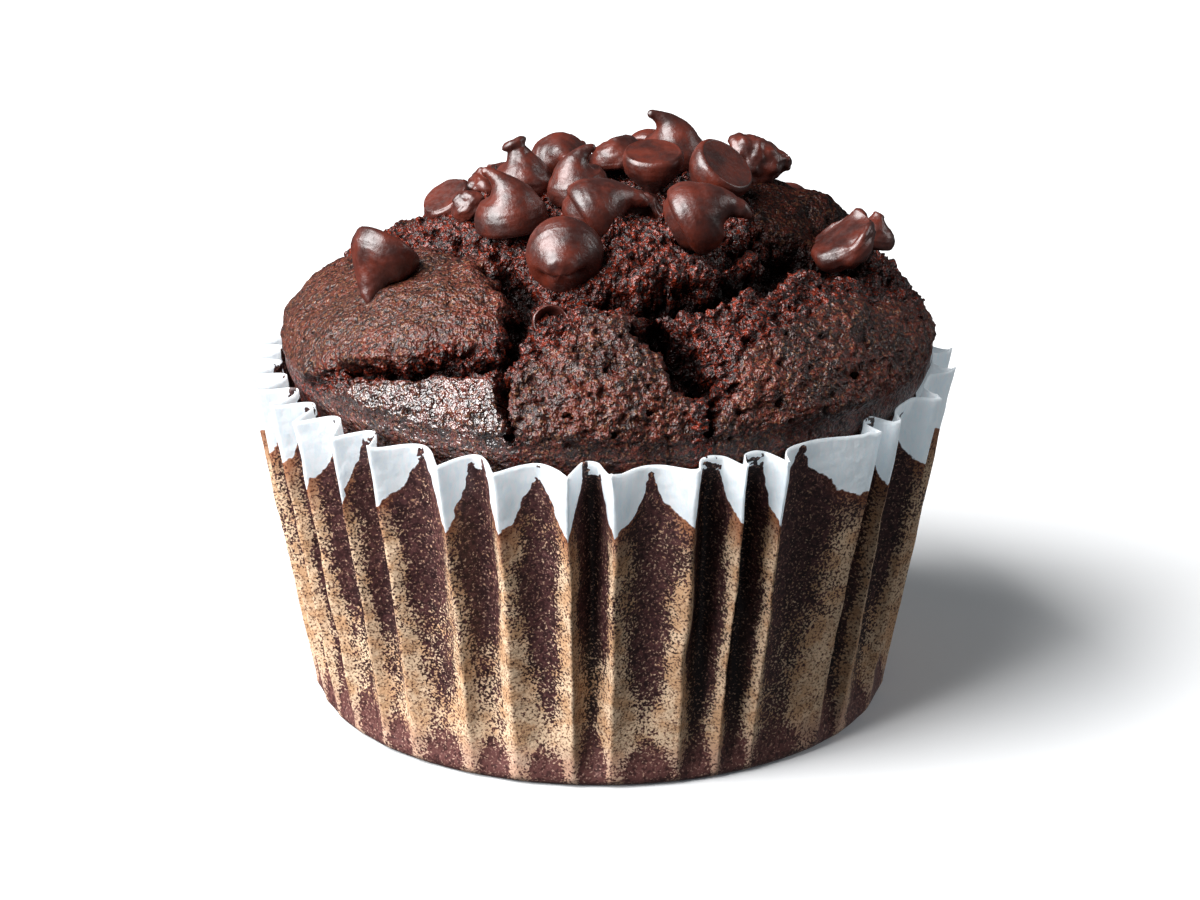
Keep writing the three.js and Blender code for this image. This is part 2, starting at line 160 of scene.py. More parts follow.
# How each chip differs from a whole one: how far it has melted out of shape,
# the share of its tip that is gone, the bead at its tip, the creases pinched
# into its tip, the hollow in its base in millimetres, or its bulge where that is
# negative, and its length against a whole one's.
WHOLE_CHIP = {"melt": 0.07, "gone": 0.0, "bead": 0.0, "crease": 0.0, "hollow": 0.0, "stretch": 1.0}
CHIP_FORMS = {
    "chip_01": {"melt": 0.22, "gone": 0.05},
    "chip_02": {"melt": 0.4, "gone": 0.2, "stretch": 0.8},
    "chip_03": {"melt": 0.6, "gone": 0.2},
    "chip_05": {"melt": 0.3, "gone": 0.14, "bead": 0.24},
    "chip_06": {"melt": 0.16, "gone": 0.1},
    "chip_07": {"melt": 0.3, "gone": 0.42},
    "chip_09": {"bead": 0.06, "hollow": -1.3},
    "chip_10": {"melt": 0.08, "gone": 0.3, "crease": 0.2},
    "chip_14": {"bead": 0.07, "hollow": -1.1},
    "chip_15": {"melt": 0.8, "gone": 0.2, "stretch": 1.15},
    "chip_16": {"melt": 0.62, "gone": 0.3, "stretch": 0.8},
    "chip_17": {"melt": 0.15, "gone": 0.2, "bead": 0.16},
    HOLLOW_CHIP: {"melt": 0.15, "gone": 0.4, "hollow": 1.3},
    "chip_19": {"melt": 0.2},
    "chip_20": {"melt": 0.5, "gone": 0.3},
    "chip_21": {"melt": 0.25, "gone": 0.3},
}


def tint(red, green, blue):
    """An sRGB colour given in 0 to 255 steps, as the linear values that shaders take."""
    steps = np.array([red, green, blue]) / 255
    linear = np.where(steps <= 0.04045, steps / 12.92, ((steps + 0.055) / 1.055) ** 2.4)
    return tuple(float(c) for c in linear)


# ------------------------------------------------------------------ settings


def length(name, description, millimetres):
    """A size that a user can change, kept in metres."""
    return bpy.props.FloatProperty(
        name=name, description=description, default=millimetres * MM, min=0, precision=5,
        subtype="DISTANCE", unit="LENGTH",
    )


def colour(name, description, steps):
    """A colour that a user can change."""
    return bpy.props.FloatVectorProperty(
        name=name, description=description, default=tint(*steps), min=0, max=1, size=3,
        subtype="COLOR",
    )


def strength(name, description, amount, unit="NONE"):
    """The strength of a light that a user can change."""
    return bpy.props.FloatProperty(
        name=name, description=description, default=amount, min=0, unit=unit,
    )


class PaperSettings(bpy.types.PropertyGroup):
    base_radius: length("Base radius", "Outside of the wall just above the base", 25.8)
    rim_radius: length("Rim radius", "Outward creases at the rim", 31.4)
    height: length("Height", "From the base to the rim at the outward creases", 30.3)
    corner_radius: length("Corner radius", "Rounded edge between base and wall", 1.2)
    pleat_depth: length("Pleat depth", "Outward to inward crease at the rim", 3.4)
    thickness: length("Thickness", "Thickness of the paper", 0.12)
    dry_band: length("Dry band", "How far the paper stays white below the rim, on a crease", 5.9)
    dry_colour: colour("Dry paper", "Greaseproof paper that stayed dry", (240, 243, 246))
    # Painted glow: the dry paper gives off light of its own, standing in for light that shines through
    # the sheet.
    painted_glow_colour: colour("Glow", "Light that comes through the dry paper", (104, 114, 120))
    soaked_colour: colour("Soaked paper", "Paper with crumb right behind it", (88, 54, 54))
    tan_colour: colour("Tan paper", "Greased paper that stands off the crumb", (208, 166, 128))
    rust_colour: colour("Rust paper", "Paper just below the dry band", (140, 72, 34))


class CrumbSettings(bpy.types.PropertyGroup):
    shoulder_radius: length("Shoulder radius", "Widest ring of the risen top", 28.6)
    shoulder_height: length("Shoulder height", "Base to the widest ring", 31.5)
    dome_rise: length("Dome rise", "Widest ring to the crown", 12.9)
    tear: length("Tear", "How rough the torn crumb is", 0.72)
    crust_colour: colour("Crust", "Baked crust", (84, 32, 22))
    torn_colour: colour("Torn crumb", "Torn crumb between the crust's plates", (74, 24, 15))
    fleck_colour: colour("Flecks", "Fine tan flecks in the crust", (150, 108, 78))


class ChipSettings(bpy.types.PropertyGroup):
    waviness: length("Waviness", "How far a chip's skin waves", 0.03)
    dark_colour: colour("Chocolate", "Dark chocolate", (52, 18, 12))
    warm_colour: colour("Warm chocolate", "Where the chocolate has softened", (98, 37, 23))


class StageSettings(bpy.types.PropertyGroup):
    floor_colour: colour("Floor", "Colour of the floor", (246, 246, 246))
    floor_glow: colour("Floor glow", "Light the floor gives off, in the muffin's shadow", (40, 46, 51))
    key_power: strength("Key light", "Power of the key light", 142, "POWER")
    edge_power: strength("Edge light", "Power of the weak light on the right", 5, "POWER")
    sky: strength("Sky", "Strength of the soft light all round", 0.085)


# --------------------------------------------------------- shape and noise


def smooth(value, low, high):
    """0 below the low value, 1 above the high one, and an even ease between them."""
    share = np.clip((value - low) / (high - low), 0, 1)
    return share * share * (3 - 2 * share)


# Each seed moves the points on by this much, into noise of its own.
GRAIN_STEP = np.array([7.31, 3.17, 5.71])
LUMP_STEP = np.array([2.93, 8.11, 4.37])


def at_each(points, measure):
    """A measure taken at every point, in the order of the points."""
    return np.array([measure(p) for p in points.reshape(-1, 3).tolist()]).reshape(points.shape[:-1])


def grain(points, size, octaves, seed):
    """Fractal noise, about -1 to 1, in lumps of the given size."""
    return at_each(
        points / size + GRAIN_STEP * (seed + 1), lambda p: noise.fractal(p, 1.0, 2.0, octaves)
    )


def lumps(points, size, seed):
    """Distance to the nearest of scattered centres: 0 on one, about 1 between them."""
    return at_each(points / size + LUMP_STEP * (seed + 1), lambda p: noise.voronoi(p)[0][0])


def normals_of(grid):
    """Unit normals of a grid of points, rows going up and columns going round."""
    up = np.gradient(grid, axis=0)
    wrapped = np.concatenate([grid[:, -1:], grid, grid[:, :1]], axis=1)
    across = wrapped[:, 2:] - wrapped[:, :-2]
    normal = np.cross(across, up)
    return normal / np.maximum(np.linalg.norm(normal, axis=-1, keepdims=True), 1e-12)


def path_distance(x, y, path):
    """Distance to a run of straight lines."""
    nearest = np.full(x.shape, np.inf)
    for (ax, ay), (bx, by) in zip(path, path[1:]):
        run_x, run_y = bx - ax, by - ay
        share = np.clip(((x - ax) * run_x + (y - ay) * run_y) / (run_x**2 + run_y**2), 0, 1)
        nearest = np.minimum(nearest, np.hypot(x - ax - run_x * share, y - ay - run_y * share))
    return nearest


def depth_inside(x, y, outline):
    """Distance to an outline, positive inside it."""
    closed = [*outline, outline[0]]
    inside = np.zeros(x.shape, bool)
    for (ax, ay), (bx, by) in zip(closed, closed[1:]):
        if ay != by:
            inside ^= ((y < ay) != (y < by)) & (x < (bx - ax) * (y - ay) / (by - ay) + ax)
    distance = path_distance(x, y, closed)
    return np.where(inside, distance, -distance)


def tube_faces(rows, columns):
    """Faces of rows of points that each close on themselves, with a point at either end."""
    last = rows * columns + 1
    faces = []
    for j in range(columns):
        k = (j + 1) % columns
        faces.append((0, 1 + k, 1 + j))
        faces.append((last, 1 + (rows - 1) * columns + j, 1 + (rows - 1) * columns + k))
    for i in range(rows - 1):
        low, high = 1 + i * columns, 1 + (i + 1) * columns
        for j in range(columns):
            k = (j + 1) % columns
            faces.append((low + j, low + k, high + k, high + j))
    return faces


def tube(name, grid, first, last, material, attributes=None):
    """A closed, smooth-shaded mesh from rows of points and the points at its ends."""
    rows, columns = grid.shape[:2]
    points = np.concatenate([[first], grid.reshape(-1, 3), [last]]) * MM
    mesh = bpy.data.meshes.new(name)
    mesh.from_pydata(points.tolist(), [], tube_faces(rows, columns))
    for key, values in (attributes or {}).items():
        ends = np.concatenate([[values[0].mean()], values.ravel(), [values[-1].mean()]])
        mesh.attributes.new(key, "FLOAT", "POINT").data.foreach_set("value", ends.astype(np.float32))
    mesh.materials.append(material)
    mesh.shade_smooth()
    mesh.update()
    made = bpy.data.objects.new(name, mesh)
    bpy.context.scene.collection.objects.link(made)
    return made


def settle(made, slot, *nodes):
    """The piece stands for its CAD nodes, on the one body there is."""
    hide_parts(*nodes)
    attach(made, "root")


# ----------------------------------------------------------------- materials


class Finish:
    """A material and short ways to add nodes to it. Sizes are in millimetres."""

    def __init__(self, name):
        self.material = bpy.data.materials.new(name)
        self.material.use_nodes = True
        self.tree = self.material.node_tree
        self.tree.nodes.clear()
        output = self.tree.nodes.new("ShaderNodeOutputMaterial")
        self.shader = self.tree.nodes.new("ShaderNodeBsdfPrincipled")
        self.tree.links.new(self.shader.outputs[0], output.inputs["Surface"])
        place = self.tree.nodes.new("ShaderNodeTexCoord").outputs["Object"]
        self.place = self.node("ShaderNodeVectorMath", {0: place, "Scale": 1 / MM}, operation="SCALE")

    def node(self, kind, inputs, result=0, **settings):
        made = self.tree.nodes.new(kind)
        for key, value in settings.items():
            setattr(made, key, value)
        for key, value in inputs.items():
            self.feed(made.inputs[key], value)
        return made.outputs[result]

    def feed(self, socket, value):
        if isinstance(value, bpy.types.NodeSocket):
            self.tree.links.new(value, socket)
        elif socket.type == "RGBA" and len(value) == 3:
            socket.default_value = (*value, 1)
        else:
            socket.default_value = value

    def set(self, **sockets):
        for key, value in sockets.items():
            self.feed(self.shader.inputs[key.replace("_", " ")], value)

    def attribute(self, name):
        return self.node("ShaderNodeAttribute", {}, "Fac", attribute_name=name)

    def noise(self, size, detail, roughness=0.55, stretch=None):
        place = self.place
        if stretch:
            place = self.node("ShaderNodeVectorMath", {0: place, 1: stretch}, operation="MULTIPLY")
        return self.node(
            "ShaderNodeTexNoise",
            {"Vector": place, "Scale": 1 / size, "Detail": detail, "Roughness": roughness},
        )

    def ramp(self, value, low, high, to_low=0.0, to_high=1.0):
        return self.node(
            "ShaderNodeMapRange",
            {"Value": value, "From Min": low, "From Max": high, "To Min": to_low, "To Max": to_high},
            interpolation_type="SMOOTHSTEP",
        )

    def math(self, operation, a, b):
        return self.node("ShaderNodeMath", {0: a, 1: b}, operation=operation)

    def mix(self, share, a, b):
        return self.node("ShaderNodeMix", {0: share, 6: a, 7: b}, 2, data_type="RGBA")

    def bump(self, height, distance, amount, normal=None):
        inputs = {"Height": height, "Distance": distance * MM, "Strength": amount}
        if normal:
            inputs["Normal"] = normal
        return self.node("ShaderNodeBump", inputs)


def paper_finish(s):
    f = Finish("Greaseproof paper")
    fold, rise = f.attribute("fold"), f.attribute("rise")
    below = f.attribute("below_edge")

    # The edge between the dry band and the greasy paper, in millimetres: it
    # wanders, is ragged, and is broken up into stains close to the rim.
    wander = f.ramp(f.noise(2.2, 1), 0.35, 0.65, -0.35, 0.35)
    ragged = f.ramp(f.noise(0.5, 1.5), 0.35, 0.65, -0.08, 0.08)
    near_rim = f.ramp(rise, 0.925, 0.975)
    broken = f.math("MULTIPLY", f.ramp(f.noise(0.9, 2), 0.42, 0.62, 0.0, -2.2), near_rim)
    edge = f.math("ADD", f.math("ADD", below, wander), f.math("ADD", ragged, broken))
    soaked = f.ramp(edge, -0.09, 0.09)

    # Where the paper stands off the crumb it is tan: on the creases, and in
    # broad patches low on the wall.
    patches = f.noise(4.0, 3, 0.55, (1, 1, 0.6))
    on_crease = f.ramp(fold, 0.72, 0.12)
    low_wall = f.math("MULTIPLY", f.ramp(rise, 0.55, 0.18), f.ramp(rise, 0.0, 0.14, 0.25, 1.0))
    low_wall = f.math("MULTIPLY", low_wall, f.ramp(fold, 0.75, 1.0, 1.0, 0.45))
    pale = f.math("ADD", f.math("MULTIPLY", on_crease, 0.68), f.math("MULTIPLY", low_wall, 0.52))
    pale = f.math("ADD", pale, f.ramp(patches, 0.3, 0.7, -0.28, 0.24))
    pale = f.math("SUBTRACT", pale, f.ramp(rise, 0.12, 0.0, 0.0, 0.2))
    speckle = f.noise(0.21, 1.6, 0.6)
    shown = f.math("ADD", f.ramp(pale, 0.0, 0.9, -0.17, 0.14), speckle)
    tan_here = f.ramp(shown, 0.44, 0.59)

    # Where it clings to the crumb it is dark, and it is painted near black in the inward creases:
    # painted shade in the folds.
    dark = f.mix(f.ramp(f.noise(0.5, 3), 0.35, 0.7), s.soaked_colour, tint(46, 24, 26))
    dark = f.mix(f.ramp(fold, 0.66, 1.0, 0.0, 0.85), dark, tint(20, 10, 12))
    dark = f.mix(f.ramp(rise, 0.24, 0.04, 0.0, 0.8), dark, tint(108, 68, 64))
    dark = f.mix(f.ramp(speckle, 0.54, 0.66, 0.0, 0.5), dark, tint(170, 130, 120))
    dark = f.mix(f.ramp(f.noise(0.42, 2), 0.47, 0.4, 0.0, 0.6), dark, tint(38, 18, 20))
    light = f.mix(f.ramp(f.noise(1.8, 3), 0.38, 0.6), s.tan_colour, tint(230, 200, 168))
    light = f.mix(f.ramp(speckle, 0.52, 0.44, 0.0, 0.6), light, tint(132, 88, 60))
    light = f.mix(f.ramp(below, 4.0, 0.2, 0.0, 0.7), light, s.rust_colour)
    light = f.mix(f.ramp(rise, 0.12, 0.02, 0.0, 0.55), light, tint(206, 164, 148))
    wet = f.mix(tan_here, dark, light)
    halo = f.math("MULTIPLY", f.ramp(edge, 1.0, 0.0, 0.0, 0.4), on_crease)
    wet = f.mix(halo, wet, s.rust_colour)
    fibres = f.noise(0.5, 4, 0.6, (1, 1, 0.4))
    dry = f.mix(f.ramp(fibres, 0.35, 0.65), s.dry_colour, tint(222, 229, 235))
    f.set(
        Base_Color=f.mix(soaked, dry, wet),
        Roughness=f.mix(soaked, (0.62,) * 3, f.mix(tan_here, (0.42,) * 3, (0.55,) * 3)),
        Subsurface_Weight=f.math("MULTIPLY", f.math("SUBTRACT", 1.0, soaked), 0.55),
        Subsurface_Radius=(1.0, 1.0, 1.0),
        Subsurface_Scale=0.8 * MM,
        # Painted glow: the dry paper emits this colour, standing in for light through the sheet.
        Emission_Color=f.mix(soaked, s.painted_glow_colour, (0.0, 0.0, 0.0)),
        Emission_Strength=1.0,
    )
    stains = f.math("MULTIPLY", f.noise(0.22, 3), soaked)
    texture = f.math("ADD", f.math("MULTIPLY", fibres, 0.5), stains)
    imprint = f.bump(f.noise(1.3, 2), 0.3, 0.5)
    f.set(Normal=f.bump(texture, 0.07, 0.6, imprint))
    return f.material


def crumb_finish(s):
    f = Finish("Chocolate crumb")
    torn, deep = f.attribute("torn"), f.attribute("deep")
    matte, wet = f.attribute("matte"), f.attribute("wet")
    broad = f.noise(5.0, 2)
    mottle = f.noise(0.9, 2, 0.55)
    grains = f.noise(0.34, 1.2, 0.5)
    flecks = f.noise(0.3, 1.0, 0.5, (1.3, 1.0, 1.0))

    crust = f.mix(f.ramp(mottle, 0.42, 0.6), s.crust_colour, tint(46, 17, 13))
    crust = f.mix(f.ramp(broad, 0.45, 0.62, 0.0, 0.55), crust, tint(112, 42, 24))
    dusty = f.math("MULTIPLY", matte, f.ramp(mottle, 0.3, 0.6, 0.3, 0.6))
    crust = f.mix(dusty, crust, tint(86, 48, 36))
    crust = f.mix(f.ramp(flecks, 0.56, 0.64, 0.0, 0.5), crust, s.fleck_colour)
    # Here and in the torn crumb below, the near-black grains lie where the bump is lowest: partly the
    # crumb's own dark bits, partly painted shade in the dips.
    crust = f.mix(f.ramp(grains, 0.49, 0.42, 0.0, 0.8), crust, tint(14, 6, 6))
    crumb = f.mix(f.ramp(f.noise(0.6, 2), 0.42, 0.58), s.torn_colour, tint(118, 40, 22))
    crumb = f.mix(f.ramp(grains, 0.53, 0.44, 0.0, 0.88), crumb, tint(11, 4, 4))
    colour = f.mix(torn, crust, crumb)
    # Painted shade: near black where deep is high, in cracks, pores, pinholes, between knobs and over
    # the block. The specular is turned down there too.
    colour = f.mix(f.math("MULTIPLY", deep, 0.94), colour, tint(7, 3, 3))

    shine = f.ramp(grains, 0.42, 0.58, 0.52, 0.24)
    dull = f.ramp(flecks, 0.42, 0.58, 0.52, 0.3)
    f.set(
        Base_Color=colour,
        Roughness=f.math("MULTIPLY", f.mix(torn, dull, shine), f.ramp(wet, 0.0, 1.0, 1.0, 0.7)),
        Specular_IOR_Level=f.math("ADD", f.ramp(deep, 0.0, 0.8, 0.55, 0.12), wet),
    )
    coarse = f.math("MULTIPLY", f.noise(0.75, 2, 0.55), f.ramp(torn, 0.0, 1.0, 0.55, 1.0))
    rough = f.bump(coarse, 0.75, 1.0)
    f.set(Normal=f.bump(f.math("ADD", grains, flecks), 0.17, 1.0, rough))
    return f.material


def chocolate_finish(s):
    f = Finish("Satin chocolate")
    soft = f.noise(2.4, 3)
    streak = f.noise(0.5, 2, 0.6)
    colour = f.mix(f.ramp(soft, 0.3, 0.7), s.dark_colour, s.warm_colour)
    colour = f.mix(f.ramp(streak, 0.5, 0.75, 0.0, 0.22), colour, tint(36, 13, 10))
    f.set(
        Base_Color=colour,
        Roughness=f.ramp(streak, 0.3, 0.7, 0.32, 0.46),
        Specular_IOR_Level=0.95,
    )
    skin = f.bump(f.noise(0.9, 3), 0.12, 0.5)
    f.set(Normal=f.bump(f.noise(0.24, 1.5, 0.5), 0.03, 0.8, skin))
    return f.material


def floor_finish(s):
    f = Finish("White board")
    cast = f.noise(60, 2)
    f.set(
        Base_Color=f.mix(f.ramp(cast, 0.3, 0.7), s.floor_colour, tint(242, 243, 244)),
        Roughness=0.7,
        Normal=f.bump(f.noise(0.8, 2), 0.01, 0.2),
        Emission_Color=s.floor_glow,
        Emission_Strength=1.0,
    )
    return f.material


# ------------------------------------------------------------ the paper case


PLEAT_COLUMNS = 22      # columns of the wall in each pleat
CREASE_SHAPE = 1.1      # 1 is a sine from crease to crease, more is flatter on the outward ones


def all_creases():
    """The bearings of the outward creases all the way round, with the first one again."""
    first, last = FRONT_CREASES[0], FRONT_CREASES[-1]
    pitch = (360 - (last - first)) / (BACK_CREASES + 1)
    return [*FRONT_CREASES, *(last + i * pitch for i in range(1, BACK_CREASES + 1)), first + 360]


def pleat_columns():
    """For each column of the wall: its bearing, fold and share of the pleat, and the
    pleat's number, pitch and fold-over."""
    creases = all_creases()
    wrapped = {creases[-1]: FOLDED_OVER.get(creases[0], 0)}
    columns = []
    for number, (a, b) in enumerate(zip(creases, creases[1:])):
        depth, middle = ODD_PLEATS.get(a, (1.0, 0.5))
        lean_a, lean_b = FOLDED_OVER.get(a, 0), wrapped.get(b, FOLDED_OVER.get(b, 0))
        bend = math.log(0.5) / math.log(middle)
        for i in range(PLEAT_COLUMNS):
            share = i / PLEAT_COLUMNS
            place = share**bend
            fold = math.sin(math.pi * place) ** CREASE_SHAPE
            lean = lean_a * (1 - share) ** 3 + lean_b * share**3
            columns.append((a + (b - a) * share, fold * depth, place, number + share, b - a, lean))
    return np.array(columns).T


class MUFFIN_OT_paper_case(bpy.types.Operator):
    """Press the pleated paper case and stain it with the muffin's grease"""

    bl_idname = "muffin.paper_case"
    bl_label = "Paper Case"
    wall_rows = 76
    corner_rows = 6
    pressed_radius = 28.75      # the risen top keeps the sheet outside this radius at the rim,
    pressed_shift = 0.7         # further out towards +X, where the top lies,
    pressed_slope = 6.0         # and further in below the rim
    press = 5.0                 # how sharply the sheet bends where it meets the top

    def execute(self, context):
        s = context.scene.muffin_paper
        base, rim, height = s.base_radius / MM, s.rim_radius / MM, s.height / MM
        corner, deep, thin = s.corner_radius / MM, s.pleat_depth / MM, s.thickness / MM
        bearing, fold, share, number, pitch, lean = pleat_columns()
        around = np.radians(bearing)
        wall_rise = np.linspace(0, 1, self.wall_rows)
        rise = np.concatenate([np.zeros(self.corner_rows), wall_rise])[:, None]
        corner_turns = np.linspace(0.12, 1, self.corner_rows, endpoint=False)
        turn = np.concatenate([corner_turns, np.ones(self.wall_rows)])[:, None]

        # The pleats deepen up the wall, and die out round the corner.
        depth = fold * deep * (0.1 + 0.9 * rise**0.7) * smooth(turn, 0.2, 1)
        waves = np.stack(np.broadcast_arrays(number * 1.7, rise * 5.0, 0.0), axis=-1)
        sway = grain(waves, 1.0, 2, 1)
        radius = base + (rim - base) * rise - depth + 0.14 * grain(waves, 1.0, 2, 2) * rise
        pressed = self.pressed_radius + self.pressed_shift * np.sin(around)
        pressed = pressed - self.pressed_slope * (1 - smooth(rise, 0.7, 1.0))
        radius = pressed + np.logaddexp(0, (radius - pressed) * self.press) / self.press
        angle = np.radians(bearing + lean * rise**1.5 + 0.55 * sway * smooth(rise, 0.0, 0.3))

        # The rim ripples, and some creases end in a small point.
        wave = np.stack(np.broadcast_arrays(np.sin(around) * 2.2, np.cos(around) * 2.2, 0.0), axis=-1)
        ripple = 0.3 * grain(wave, 1.0, 2, 3)
        point = 0.45 * (1 - np.clip(fold, 0, 1)) ** 8 * (grain(wave * 9, 1.0, 1, 4) > -0.05)
        top = height + 0.55 * fold + ripple + point
        z = corner + (top - corner) * rise - corner * np.cos(turn * np.pi / 2)
        out = radius - corner * (1 - np.sin(turn * np.pi / 2))
        grid = np.stack([out * np.sin(angle), -out * np.cos(angle), z], axis=-1)
        grid[:, :, :2] += 0.1 * normals_of(grid)[:, :, :2] * grain(grid, 3.0, 3, 5)[..., None]

        # The inside of the sheet, down from the same edge.
        inner = grid - normals_of(grid) * thin
        inner[:, :, 2] = np.maximum(inner[:, :, 2], thin)
        inner[-1, :, 2] = grid[-1, :, 2]
        skin = np.concatenate([grid, inner[::-1]])

        # Grease climbs the inward creases to the rim and leaves the outward
        # ones dry, and spreads widest in narrow pleats.
        spread = 0.035 + 0.19 * smooth(-pitch, -11.5, -7.5)
        from_middle = np.clip((np.abs(share - 0.5) - spread) / (0.5 - spread), 0, 1)
        dry = s.dry_band / MM * np.sqrt(from_middle) + 0.5 * grain(wave * 2, 1.0, 2, 6)
        below = (1 - rise) * (height - corner) - dry * (from_middle > 0)
        fields = {
            "fold": fold * np.ones_like(rise),
            "rise": rise * np.ones_like(fold),
            "below_edge": below,
        }
        fields = {key: np.concatenate([values, values[::-1]]) for key, values in fields.items()}
        case = tube("Paper_Case", skin, (0, 0, 0), (0, 0, thin), paper_finish(s), fields)
        settle(case, "case_paper", "paper_case")
        return {"FINISHED"}


# ----------------------------------------------------------------- the chips


FACING_ALIKE = 0.9995                               # cosine between faces of one flat
LEVEL_WITHIN = 0.02                                 # millimetres between faces of one flat
CHIP_BASE_AREA = 5 * math.sin(math.radians(36))     # of a ten-sided base of radius 1
CHIP_BASE_SHARE = 0.86                              # base radius against full radius
CHIP_SLENDERNESS = 2.0                              # height against full radius
CHIP_STRAIGHT = 0.42                                # share of the height below the curl
MOST_CURL = 2.2                                     # radians

# Widths up a whole chip, as shares of its height and its full radius.
CHIP_PROFILE = np.array([
    (0.000, 0.88), (0.020, 0.94), (0.060, 0.985), (0.12, 1.0), (0.22, 0.985), (0.32, 0.92),
    (0.42, 0.79), (0.52, 0.60), (0.62, 0.42), (0.72, 0.28), (0.82, 0.19), (0.90, 0.145),
    (1.0, 0.125),
])
BEAD_AT, BEAD_REACH = 0.84, 0.08                    # shares of the height
CAP_FROM, CAP_REACH = 0.92, 0.08                    # shares over which the tip rounds off
ROUNDEST_END = 0.0016                               # keeps the last ring from closing to a point
PINCHES = [(1.2, 0.3), (5.3, 0.34)]                 # the creases' bearings and widths, in radians

# Rings of the flat base: their radii as shares of its rim, and how far each
# follows the hollow or the bulge in it.
BASE_RINGS = np.array([0.4, 0.62, 0.8, 0.9, 0.975])
BASE_SINKS = np.array([1, 0.9, 0.6, 0.15, 0])
BASE_INSET = 0.03                                   # millimetres

# The rings, counted from the middle of the base, between which melt sets in. A
# chip keeps its flat base until it is well melted.
FIRM_BASE = (3, 8)
SOFT_BASE = (0, 3)
WELL_MELTED = 0.6


def chip_seat(node):
    """A chip's base centre, axis, curl direction, full radius and curl, measured on its
    CAD solid."""
    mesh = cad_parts[node].data
    normals = np.array([face.normal for face in mesh.polygons])
    centres = np.array([face.center for face in mesh.polygons]) / MM
    areas = np.array([face.area for face in mesh.polygons]) / MM**2
    alike = normals @ normals.T > FACING_ALIKE
    heights = np.einsum("ik,jk->ij", normals, centres)
    level = np.abs(heights - np.sum(normals * centres, 1)[:, None]) < LEVEL_WITHIN
    flat = (alike & level) @ areas
    base = int(np.argmax(flat))
    members = np.nonzero(alike[base] & level[base])[0]
    corners = {tuple(mesh.vertices[v].co) for m in members for v in mesh.polygons[m].vertices}
    corners = np.array(list(corners)) / MM
    axis = -normals[base]
    points = np.array([v.co for v in mesh.vertices]) / MM
    radius = math.sqrt(flat[base] / CHIP_BASE_AREA)
    centre = (corners.min(0) + corners.max(0)) / 2
    centre -= axis * ((centre - corners.mean(0)) @ axis)
    tip = points[np.argmax(np.linalg.norm(points - centre, axis=1))] - centre
    sideways = tip - axis * (tip @ axis)
    reach = float(np.linalg.norm(sideways))
    return centre, axis, sideways / max(reach, 1e-6), radius / CHIP_BASE_SHARE, reach


class MUFFIN_OT_chips(bpy.types.Operator):
    """Drop the chocolate chips where the frame has them, each with its own curl and melt"""

    bl_idname = "muffin.chips"
    bl_label = "Chocolate Chips"
    sides = 56
    rings = 54

    def spine(self, share, height, bend):
        """Sideways, upward and turn at shares of the height, for a tip that curls by bend."""
        along = np.clip((share - CHIP_STRAIGHT) / (1 - CHIP_STRAIGHT), 0, 1)
        arc = height * (1 - CHIP_STRAIGHT) / max(bend, 1e-3)
        turn = bend * along
        straight = height * np.minimum(share, CHIP_STRAIGHT)
        return arc * (1 - np.cos(turn)), straight + arc * np.sin(turn), turn

    def chip(self, node, waviness, material, seed):
        """One chip, built upright with its curl towards +X, then laid in its seat."""
        centre, axis, sideways, radius, reach = chip_seat(node)
        form = {**WHOLE_CHIP, **CHIP_FORMS.get(node, {})}
        gone = form["gone"]
        height = CHIP_SLENDERNESS * radius * form["stretch"]
        bends = np.linspace(0.01, MOST_CURL, 60)
        bend = np.interp(reach, [self.spine(np.array(1.0), height, b)[0] for b in bends], bends)

        share = np.linspace(0, 1, self.rings) ** 1.1 * (1 - gone)
        width = np.interp(share, *CHIP_PROFILE.T)
        width += form["bead"] * np.exp(-(((share - BEAD_AT) / BEAD_REACH) ** 2))
        cap = np.clip((share / (1 - gone) - CAP_FROM) / CAP_REACH, 0, 1)
        width *= np.sqrt(np.maximum(1 - cap**2, ROUNDEST_END))
        x, z, turn = self.spine(share, height, bend)
        around = np.linspace(0, 2 * np.pi, self.sides, endpoint=False)
        pinch = form["crease"] * smooth(share, 0.3, 0.55)[:, None]
        folds = sum(np.exp(-(((around - place) / spread) ** 2)) for place, spread in PINCHES)
        width = width[:, None] * (1 - pinch * 2.2 * folds)
        out = radius * width * np.cos(around)
        across = radius * width * np.sin(around)
        grid = np.stack([
            x[:, None] + out * np.cos(turn)[:, None],
            across,
            z[:, None] - out * np.sin(turn)[:, None],
        ], axis=-1)
        inner = BASE_RINGS[:, None, None] * grid[0] + [0, 0, BASE_INSET]
        inner[:, :, 2] += form["hollow"] * BASE_SINKS[:, None]
        grid = np.concatenate([inner, grid])
        moved = normals_of(grid)
        amount = form["melt"] * grain(grid / radius, 0.9, 3, seed)
        amount = amount + waviness * grain(grid, 0.5, 2, seed)
        melting = FIRM_BASE if form["melt"] < WELL_MELTED else SOFT_BASE
        grid += moved * (amount * smooth(np.arange(len(grid)), *melting)[:, None])[..., None]

        turned = np.stack([sideways, np.cross(axis, sideways), axis])
        grid = centre + grid @ turned
        first = centre + axis * (BASE_INSET + form["hollow"])
        last = grid[-1].mean(0) + (grid[-1].mean(0) - grid[-2].mean(0)) * 0.3
        made = tube(node.replace("chip_", "Chip_"), grid, first, last, material)
        settle(made, "chocolate", node)

    def execute(self, context):
        s = context.scene.muffin_chips
        material = chocolate_finish(s)
        names = sorted(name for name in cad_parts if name.startswith("chip_"))
        if not names:
            raise RuntimeError("the frame has no chips")
        for seed, node in enumerate(names):
            self.chip(node, s.waviness / MM, material, seed)
        return {"FINISHED"}


# ----------------------------------------------------------------- the crumb


